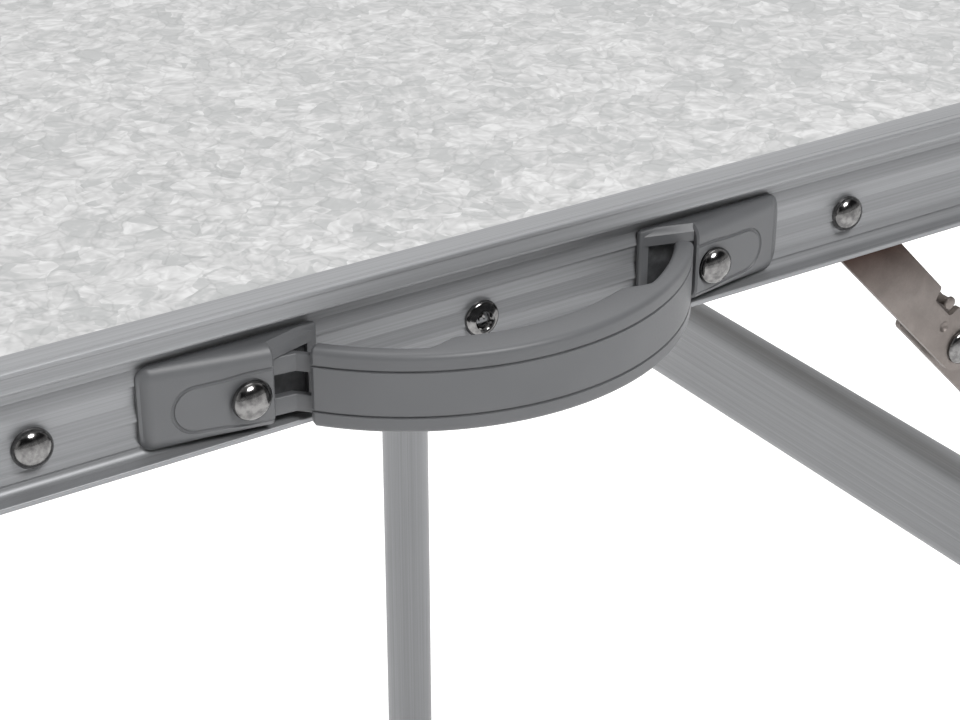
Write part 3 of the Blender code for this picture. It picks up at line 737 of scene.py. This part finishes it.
class FOLDINGTABLE_OT_grip(bpy.types.Operator):
    """Make the bow grip with its two grooves and its prongs"""
    bl_idname = "folding_table.grip"
    bl_label = "Grip"

    half_span, shift = 52.8 * MM, 2.3 * MM
    end_reach = 9.5 * MM

    def execute(self, context):
        low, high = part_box("handle_grip")
        self.reach = WEB_FRONT - low.y
        self.half_height = (high.z - low.z) / 2
        rise = self.reach - self.end_reach
        self.radius = (self.half_span ** 2 + rise ** 2) / (2 * rise)
        count = 56
        rings = []
        for i in range(count + 1):
            x = self.half_span * (2 * i / count - 1)
            pinch = 0.5 * MM if i in (0, count) else 0
            rings.append(self.ring(x, pinch))
            if i in (0, count - 1):
                rings.append(self.ring(self.half_span * (1 if i else -1) * 0.99, 0))
        mesh = closed_mesh("grip", rings)
        prongs = [("UNION", self.prong(sign, up)) for sign in (-1, 1) for up in (-5 * MM, 5 * MM)]
        mesh = carved("grip", mesh, prongs)
        place_piece("bow_grip", mesh, "plastic", "handle", ["handle_grip"], smooth=32)
        return {"FINISHED"}

    def at(self, x, inset, up):
        angle = math.asin(x / self.radius)
        out = self.reach - self.radius + (self.radius - inset) * math.cos(angle)
        x = self.shift + (self.radius - inset) * math.sin(angle)
        return Vector((x, WEB_FRONT - out, ROW + up))

    def thickness(self, x):
        step = min(max((abs(x) - 25 * MM) / (8 * MM), 0), 1)
        return (9.4 - 4.8 * step * step * (3 - 2 * step)) * MM

    def ring(self, x, pinch):
        """Section of the bow: a rounded bar with two grooves in its outer face."""
        half, thick, corner = self.half_height - pinch, self.thickness(x) - pinch, 1.5 * MM
        groove, wide, deep = 5.6 * MM, 0.35 * MM, 0.5 * MM
        upper = [(pinch, 0), (pinch, groove - wide), (deep, groove - 0.4 * wide),
                 (deep, groove + 0.4 * wide), (pinch, groove + wide)]
        upper += arc((pinch + corner, half - corner), corner, 180, 90, 6)
        upper += arc((thick - corner, half - corner), corner, 90, 0, 6)
        lower = [(inset, -up) for inset, up in reversed(upper[1:])]
        return [self.at(x, inset, up) for inset, up in upper + lower]

    def prong(self, sign, up):
        """Flat prong from the end of the bow into its socket."""
        inner = self.at(sign * (self.half_span - 3 * MM), 3 * MM, up)
        knee = Vector((sign * 54 * MM + self.shift, WEB_FRONT - 4.2 * MM, ROW + up))
        tip = Vector((sign * 63 * MM + self.shift, WEB_FRONT - 3.3 * MM, ROW + up))
        half, high = 1.1 * MM, 2.2 * MM
        rings = [[point + Vector((0, y * half, z * high)) for y, z in
                  ((-1, -1), (1, -1), (1, 1), (-1, 1))] for point in (inner, knee, tip)]
        return carved("prong", closed_mesh("prong", rings), [], 0.3 * MM)


# Legs ----------------------------------
class FOLDINGTABLE_OT_legs(bpy.types.Operator):
    """Make the upper and lower leg tubes and the feet"""
    bl_idname = "folding_table.legs"
    bl_label = "Legs"

    def execute(self, context):
        for side, end in CORNERS:
            tag, body = f"{side}_{end}", f"leg_frame_{side}"
            low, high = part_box(f"leg_upper_{tag}")
            centre = (low + high) / 2
            place = Matrix.Translation((centre.x, centre.y, 0))
            outer = (high.x - low.x) / 2
            bore = outer - 1.2 * MM
            edge = 0.3 * MM
            upper = [(bore, low.z), (outer, low.z), (outer, high.z - edge), (outer - edge, high.z),
                     (bore + edge, high.z), (bore, high.z - edge)]
            tube = self.drilled(tag, lathe("upper_leg", upper, place), end)
            place_piece(f"upper_leg_{tag}", tube, "Z", body, [f"leg_upper_{tag}"])
            place_piece(f"lower_leg_{tag}", self.lower(tag, place, outer / MM, low.z), "Z", body,
                        [f"leg_lower_{tag}"])
            place_piece(f"rubber_foot_{tag}", self.foot(tag, place, bore / MM), "rubber", body,
                        [f"foot_{tag}"])
        return {"FINISHED"}

    def drilled(self, tag, mesh, end):
        pin = middle(f"leg_pivot_{tag}")
        start, stop = depths(f"leg_upper_{tag}", end)
        profile = raised(start, (0, -5), (3.3, -5)) + raised(stop, (3.3, 5), (0, 5))
        drill = turned("drill", profile, end, pin.x, pin.z, 32)
        return carved("upper_leg", mesh, [("DIFFERENCE", drill)])

    def lower(self, tag, place, outer, seam):
        """Tube with a swaged collar: two soft beads with a waist between them."""
        tip, top = (corner.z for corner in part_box(f"leg_lower_{tag}"))
        collar, waist, pocket = outer + 1.5, outer + 0.8, outer + 0.3
        bore, wall, round_edge = outer - 1.2, 1.2, 2
        spigot = bore - 0.3
        beads = [(pocket + 0.3, 9), *arc((collar - round_edge, 7), round_edge, 60, 0, 5),
                 (collar, 4.6), (waist, 3.4), (waist, 2.4), (collar, 1.2), (collar, -1.6),
                 *arc((collar - round_edge, -2), round_edge, 0, -70, 5), (outer, -4.4)]
        profile = [*raised(top, (spigot - wall, 0), (spigot, 0)),
                   *raised(seam, (spigot, -0.3), (pocket, -0.3), (pocket, 9), *beads),
                   *raised(tip, (outer, 0), (bore, 0)),
                   *raised(seam, (bore, -10), (spigot - wall, -6))]
        return lathe("lower_leg", profile, place)

    def foot(self, tag, place, bore):
        """Plug with three ribs inside the tube and a rounded sole with a groove."""
        low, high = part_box(f"foot_{tag}")
        flange = (high.x - low.x) / 2 / MM
        ribs = []
        for level in (-3, -6, -9):
            ribs += [(bore - 0.9, level + 0.8), (bore - 0.3, level), (bore - 0.9, level - 0.8)]
        sole = [(bore - 0.9, 4.7), (flange - 0.4, 4.7), (flange, 4.3),
                *arc((flange - 1.4, 1.4), 1.4, 0, -90, 6)]
        tread = [*((flange - r, h) for r, h in ((3, 0), (3.4, 0.5), (4.4, 0.5), (4.8, 0))), (0, 0)]
        profile = raised(high.z, (0, 0), (bore - 1.6, 0), *ribs) + raised(low.z, *sole, *tread)
        return lathe("foot", profile, place)


class FOLDINGTABLE_OT_crossbars(bpy.types.Operator):
    """Make the two ribbed oval crossbars and their rivets"""
    bl_idname = "folding_table.crossbars"
    bl_label = "Crossbars"

    def execute(self, context):
        for side, sign in SIDES.items():
            low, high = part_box(f"crossbar_{side}")
            centre = (low + high) / 2
            size = high - low
            loops = [self.section(size.x, size.z, context.scene.folding_table_sizes.rib),
                     self.section(size.x - 2.8 * MM, size.z - 2.8 * MM, 0)]
            turn = Matrix.Translation(centre) @ Matrix.Rotation(math.radians(90), 4, "X")
            mesh = flat_plate("crossbar", loops, size.y, turn)
            place_piece(f"oval_crossbar_{side}", mesh, "Y", f"leg_frame_{side}",
                        [f"crossbar_{side}"], smooth=22)
            for end in ENDS:
                leg_y = middle(f"leg_upper_{side}_{end}").y
                for level, up in (("upper", 10 * MM), ("lower", -10 * MM)):
                    self.bar_rivet(f"bar_rivet_{side}_{end}_{level}", side, sign,
                                   Vector((centre.x + sign * size.x / 2, leg_y, centre.z + up)))
        return {"FINISHED"}

    def section(self, wide, high, rib):
        """Flat oval with fine ribs on its flat sides; no ribs gives a plain bore."""
        radius, straight = wide / 2, (high - wide) / 2
        points = arc((0, straight), radius, 0, 180, 16)
        flank = []
        if rib:
            count = int(2 * straight / rib)
            deep = 0.1 * MM
            for i in range(1, count):
                level = straight - 2 * straight * i / count
                flank += [(-radius, level + 0.3 * rib), (deep - radius, level),
                          (-radius, level - 0.3 * rib)]
        points += flank
        points += arc((0, -straight), radius, 180, 360, 16)
        return points + [(-x, -z) for x, z in flank]

    def bar_rivet(self, name, side, sign, point):
        profile = dome(3.2 * MM, 1.4 * MM, 7) + raised(0, (1.8, 0), (1.8, 1.2), (0, 1.2))
        place = Matrix.Translation(point) @ Matrix.Rotation(math.radians(-90 * sign), 4, "Y")
        mesh = lathe(name, profile, place, 40)
        place_piece(name, mesh, "nickel", f"leg_frame_{side}")


# Braces --------------------------------
class FOLDINGTABLE_OT_braces(bpy.types.Operator):
    """Make the pressed plates, knee rivets and studs of the four braces"""
    bl_idname = "folding_table.braces"
    bl_label = "Braces"

    width, thick, tail = 15.1 * MM, 1.8 * MM, 21.1 * MM

    def execute(self, context):
        edge = context.scene.folding_table_sizes.edge
        for side, end in CORNERS:
            tag, sign = f"{side}_{end}", SIDES[side]
            top, knee, foot = (middle(f"{part}_{tag}") for part in
                               ("brace_pivot", "knee_rivet", "brace_stud"))
            run, drop = sign * (foot.x - top.x), top.z - foot.z
            self.way = (run / math.hypot(run, drop), drop / math.hypot(run, drop))
            self.sign, self.top, self.end = sign, top, end
            upper = math.hypot(knee.x - top.x, knee.z - top.z)
            lower = math.hypot(foot.x - knee.x, foot.z - knee.z)
            front = depths(f"brace_upper_{tag}", end)[0]
            back = depths(f"brace_lower_{tag}", end)[1] - self.thick
            # Both plates take the zinc finish with painted shade towards the rim.
            mesh = self.plate(self.upper_outline(upper), [(0, 0), (upper, 0)], front, 0)
            dents = [("DIFFERENCE", self.dimple(upper - 11.1 * MM, 0.3 * MM, front))]
            place_piece(f"upper_plate_{tag}", carved("upper_plate", mesh, dents, edge), "browned",
                        f"brace_upper_{tag}", [f"brace_upper_{tag}"], smooth=40)
            mesh = self.plate(self.lower_outline(lower), [(0, 0), (lower, 0)], back, upper)
            peg = [("UNION", self.stop_peg(upper - 16.3 * MM, 5.9 * MM, front, back))]
            place_piece(f"lower_plate_{tag}", carved("lower_plate", mesh, peg, edge), "browned",
                        f"brace_lower_{tag}", [f"brace_lower_{tag}"], smooth=40)
            rivet(f"knee_{tag}", f"knee_rivet_{tag}", end, f"brace_upper_{tag}",
                  (5.2 * MM, 2.1 * MM), sleeve=(5 * MM, front + self.thick + GAP, back - GAP))
            rivet(f"stud_{tag}", f"brace_stud_{tag}", end, f"brace_lower_{tag}",
                  (3.8 * MM, 1.2 * MM))
        return {"FINISHED"}

    def spot(self, distance, offset=0.0):
        """X and Z of a point so far down the brace and so far above its middle line."""
        cos, sin = self.way
        return (self.top.x + self.sign * (distance * cos + offset * sin),
                self.top.z + offset * cos - distance * sin)

    def plate(self, outline, holes, front, start):
        loops = [[self.spot(start + x, y) for x, y in outline]]
        for x, _ in holes:
            hole = arc((start + x, 0), 2.7 * MM, 0, 345, 23)
            loops.append([self.spot(a, b) for a, b in hole])
        base, way = ENDS[self.end]
        place = Matrix.Translation((0, base + way * (front + self.thick / 2), 0))
        place @= Matrix.Rotation(math.radians(90), 4, "X")
        return flat_plate("plate", loops, self.thick, place)

    def upper_outline(self, length):
        half, notch, floor = self.width / 2, length - 22.4 * MM, 3.6 * MM
        return [*arc((0, 0), half, 90, 270, 24), *arc((length, 0), half, -90, 90, 24),
                *arc((notch + 12.4 * MM, half - 1 * MM), 1 * MM, 90, 180, 4),
                *arc((notch + 9.6 * MM, floor + 1.6 * MM), 1.6 * MM, 0, -90, 5)[1:],
                *arc((notch + 2.4 * MM, floor + 1 * MM), 1 * MM, 270, 200, 4),
                *arc((notch - 0.4 * MM, half - 1.2 * MM), 1.2 * MM, 20, 90, 4)]

    def lower_outline(self, length):
        half, corner = self.width / 2 + 0.3 * MM, 2 * MM
        return [*arc((corner - self.tail, half - corner), corner, 90, 180, 6),
                *arc((corner - self.tail, corner - half), corner, 180, 270, 6),
                *arc((length, 0), half, -90, 90, 24)]

    def dimple(self, distance, offset, front):
        """Round dent pressed into the outer face."""
        x, z = self.spot(distance, offset)
        profile = raised(front, (0, -1), (1.9, -1), (1.7, 0), (1.1, 0.7), (0, 0.9))
        return turned("dimple", profile, self.end, x, z, 28)

    def stop_peg(self, distance, offset, front, back):
        """Headed peg of the lower plate that meets the upper plate's notch."""
        x, z = self.spot(distance, offset)
        head = ((0, -1.4), (1.2, -1.4), (1.8, -1.1), (1.9, -0.5), (1.6, -0.1), (1.3, 0.2))
        foot = ((1.3, -0.6), (1.6, -0.1), (1.6, 1.2), (0, 1.2))
        return turned("peg", raised(front, *head) + raised(back, *foot), self.end, x, z, 32)


# Studio --------------------------------
class FOLDINGTABLE_OT_stage(bpy.types.Operator):
    """Set up the pale floor, the soft lights and the camera"""
    bl_idname = "folding_table.stage"
    bl_label = "Studio"

    def execute(self, context):
        self.floor()
        self.sky(context.scene)
        self.lamp("overhead_softbox", (0.1, 0.5, 2.2), (0, 0.1, 0.3), 1.6, 13)
        self.lamp("left_softbox", (-1.9, -0.9, 1.3), (0, 0, 0.4), 1.1, 1)
        self.lamp("front_softbox", (0.1, -1.3, 1.75), (0, -0.2, 0.45), 0.7, 24)
        self.camera(context)
        context.scene.view_settings.view_transform = "Standard"
        return {"FINISHED"}

    def floor(self):
        shape = bmesh.new()
        bmesh.ops.create_grid(shape, x_segments=1, y_segments=1, size=12)
        thing = loose("studio_floor", mesh_from(shape, "studio_floor"))
        thing.location.z = CAD_LOW.z - 0.2 * MM
        material, tree, shader, place = new_finish(
            "matt_white_paper", roughness=0.9, emission_color=(1, 1, 1, 1), emission_strength=0.5)
        tooth = add_node(tree, "TexNoise", {"Scale": 300.0}, {0: place})
        whites = [(0.3, "#f3f3f3"), (0.7, "#f8f8f8")]
        colour = add_node(tree, "ValToRGB", {"stops": whites}, {0: tooth.outputs[0]})
        surface(tree, shader, colour.outputs[0])
        thing.data.materials.append(material)

    def sky(self, scene):
        """White to the camera; to the object, bright overhead and low, dimmer between."""
        world = bpy.data.worlds.new("studio_sky")
        scene.world = world
        world.use_nodes = True
        tree = world.node_tree
        tree.nodes.clear()
        way = add_node(tree, "TexCoord").outputs["Generated"]
        parts = add_node(tree, "SeparateXYZ", links={0: way})
        height = add_node(tree, "MapRange", {1: -0.1, 2: 1.0}, {0: parts.outputs[2]}).outputs[0]
        over_camera = [(0.05, "#a8a8a8"), (0.95, "#c0c0c0"), (0.2, "#a8a8a8"), (0.36, "#343435"),
                       (0.7, "#303031")]
        behind = [(0.1, "#a8a8a8"), (0.95, "#b4b4b4"), (0.36, "#ffffff"), (0.6, "#ffffff")]
        near, far = (add_node(tree, "ValToRGB", {"stops": tones}, {0: height}).outputs[0]
                     for tones in (over_camera, behind))
        side = add_node(tree, "MapRange", {1: -0.35, 2: 0.25}, {0: parts.outputs[1]})
        colour = add_node(tree, "Mix", {"data_type": "RGBA"},
                          {0: side.outputs[0], 6: near, 7: far}).outputs[2]
        lit = add_node(tree, "Background", {"Strength": 1.1}, {0: colour}).outputs[0]
        seen = add_node(tree, "Background", {0: (1, 1, 1, 1)}).outputs[0]
        ray = add_node(tree, "LightPath").outputs["Is Camera Ray"]
        mixed = add_node(tree, "MixShader", links={0: ray, 1: lit, 2: seen})
        add_node(tree, "OutputWorld", links={0: mixed.outputs[0]})

    def lamp(self, name, place, target, size, power):
        light = bpy.data.lights.new(name, "AREA")
        light.shape, light.size, light.energy = "DISK", size, power
        thing = loose(name, light)
        turn = (Vector(target) - Vector(place)).to_track_quat("-Z", "Y").to_matrix()
        thing.matrix_world = Matrix.Translation(place) @ turn.to_4x4()

    def camera(self, context):
        """Half a metre from the handle, from the left and above, a long lens."""
        data = bpy.data.cameras.new("camera")
        data.lens, data.sensor_width = 83.55, 36.0
        data.clip_start, data.clip_end = 0.05, 50
        thing = loose("camera", data)
        right, up = (0.838, -0.5457, 0), (0.2503, 0.3844, 0.8886)
        back = (-0.4849, -0.7446, 0.4587)
        turn = Matrix((right, up, back)).transposed().to_4x4()
        eye = Vector((0, WEB_FRONT, ROW)) + Vector((-0.2544, -0.3907, 0.2294))
        thing.matrix_world = Matrix.Translation(eye) @ turn
        context.scene.camera = thing


OPERATORS = [FOLDINGTABLE_OT_board, FOLDINGTABLE_OT_rails, FOLDINGTABLE_OT_under_board,
             FOLDINGTABLE_OT_pivots, FOLDINGTABLE_OT_sockets, FOLDINGTABLE_OT_grip,
             FOLDINGTABLE_OT_legs, FOLDINGTABLE_OT_crossbars, FOLDINGTABLE_OT_braces,
             FOLDINGTABLE_OT_stage]


class FOLDINGTABLE_PT_panel(bpy.types.Panel):
    """Lists the sizes, the colours and the steps"""
    bl_label = "Folding Table"
    bl_idname = "FOLDINGTABLE_PT_panel"
    bl_space_type = "VIEW_3D"
    bl_region_type = "UI"
    bl_category = "Folding Table"

    def draw(self, context):
        for group in (context.scene.folding_table_sizes, context.scene.folding_table_colours):
            for name in group.bl_rna.properties.keys():
                if name not in ("rna_type", "name"):
                    self.layout.prop(group, name)
        for operator in OPERATORS:
            self.layout.operator(operator.bl_idname)


CLASSES = [FoldingTableSizes, FoldingTableColours, *OPERATORS, FOLDINGTABLE_PT_panel]


def register():
    for item in CLASSES:
        bpy.utils.register_class(item)
    bpy.types.Scene.folding_table_sizes = bpy.props.PointerProperty(type=FoldingTableSizes)
    bpy.types.Scene.folding_table_colours = bpy.props.PointerProperty(type=FoldingTableColours)


def unregister():
    del bpy.types.Scene.folding_table_colours
    del bpy.types.Scene.folding_table_sizes
    for item in reversed(CLASSES):
        bpy.utils.unregister_class(item)


def main():
    register()
    for thing in list(bpy.context.scene.objects):
        if thing.type in {"CAMERA", "LIGHT"} or (thing.type == "MESH" and thing.name == "Cube"):
            bpy.data.objects.remove(thing, do_unlink=True)
    for step in ("board", "rails", "under_board", "pivots", "sockets", "grip", "legs",
                 "crossbars", "braces", "stage"):
        getattr(bpy.ops.folding_table, step)()


if __name__ == "__main__":
    main()
